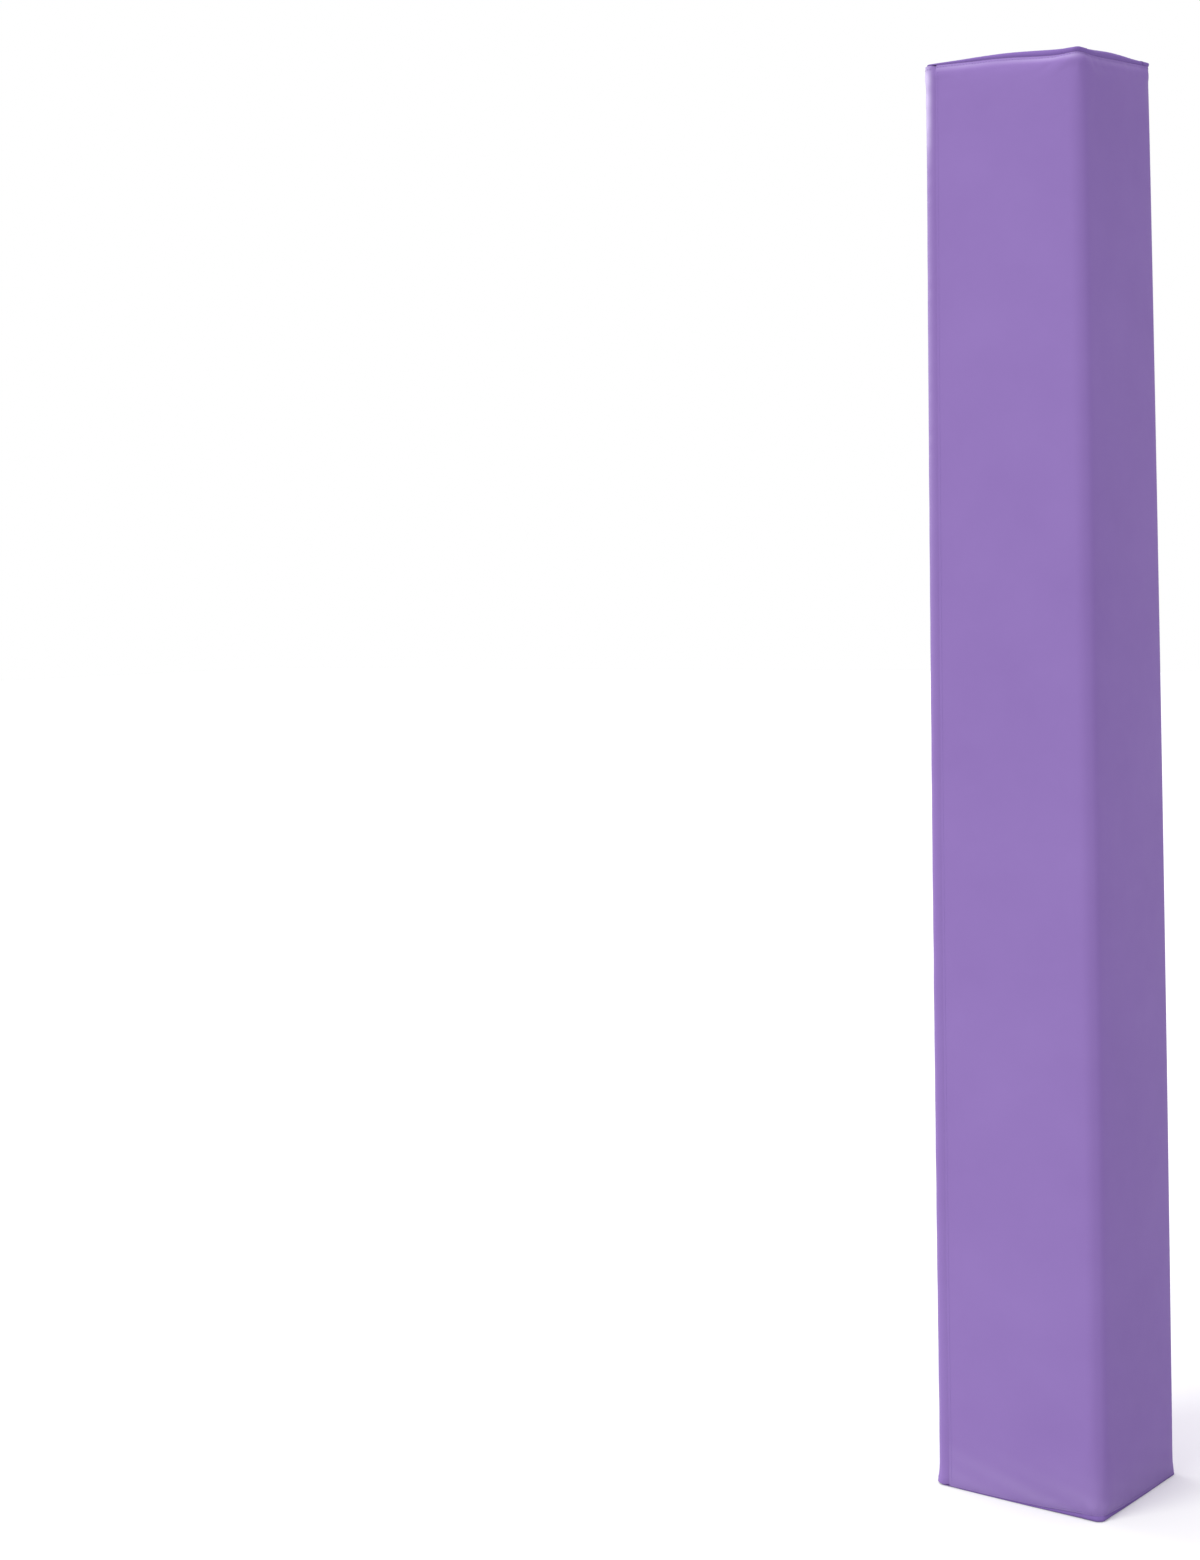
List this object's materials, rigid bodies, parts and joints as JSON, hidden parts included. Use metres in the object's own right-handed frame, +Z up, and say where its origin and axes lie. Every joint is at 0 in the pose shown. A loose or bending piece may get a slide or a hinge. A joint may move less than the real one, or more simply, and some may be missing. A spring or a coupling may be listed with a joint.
{
  "type": "basketball pole pad",
  "caption": "Tall square wrap-round pad for a basketball pole: vinyl-covered foam panels hinged at the corners and closed by a full-length flap with hook and loop tape.",
  "frame": {"origin": "on the surface that the pad stands on, at the middle of the square pole opening", "axes": "+Z up along the pole; -Y out of the front face, +X out of the right face, -X out of the left face that the closure flap lies on"},
  "size_m": [0.2203, 0.216, 1.829],
  "materials": {
    "vinyl": "satin PVC-coated cloth, lavender purple",
    "vinyl_hem": "satin PVC-coated cloth, lavender purple, in the shade of the rolled ends",
    "lining": "matt PVC-coated cloth, duller purple",
    "foam": "closed-cell foam, off-white",
    "hook_tape": "black moulded hook tape",
    "loop_tape": "black brushed loop tape"
  },
  "bodies": {
    "left_panel": {"left_outer_skin": "vinyl", "left_inner_lining": "lining", "left_top_end": "vinyl_hem", "left_bottom_end": "vinyl_hem", "left_foam_slab": "foam", "left_loop_tape": "loop_tape"},
    "back_panel": {"back_outer_skin": "vinyl", "back_inner_lining": "lining", "back_top_end": "vinyl_hem", "back_bottom_end": "vinyl_hem", "back_foam_slab": "foam"},
    "right_panel": {"right_outer_skin": "vinyl", "right_inner_lining": "lining", "right_top_end": "vinyl_hem", "right_bottom_end": "vinyl_hem", "right_foam_slab": "foam"},
    "front_panel": {"front_outer_skin": "vinyl", "front_inner_lining": "lining", "front_top_end": "vinyl_hem", "front_bottom_end": "vinyl_hem", "front_foam_slab": "foam"},
    "flap": {"closure_flap": "vinyl", "flap_hook_tape": "hook_tape"}
  },
  "joints": [
    {"name": "back_left_fold", "type": "hinge", "parent": "left_panel", "child": "back_panel", "pos_m": [-0.10073, 0.10073, 0.9145], "axis": [0, 0, 1], "range_deg": [0, 90], "deforming": ["closure_flap", "flap_hook_tape"]},
    {"name": "back_right_fold", "type": "hinge", "parent": "back_panel", "child": "right_panel", "pos_m": [0.10073, 0.10073, 0.9145], "axis": [0, 0, 1], "range_deg": [0, 90], "deforming": ["closure_flap", "flap_hook_tape"]},
    {"name": "front_right_fold", "type": "hinge", "parent": "right_panel", "child": "front_panel", "pos_m": [0.10073, -0.10073, 0.9145], "axis": [0, 0, 1], "range_deg": [0, 90]},
    {"name": "flap_peel", "type": "hinge", "parent": "front_panel", "child": "flap", "pos_m": [-0.088, -0.1075, 0.9145], "axis": [0, 0, 1], "range_deg": [0, 120]}
  ]
}
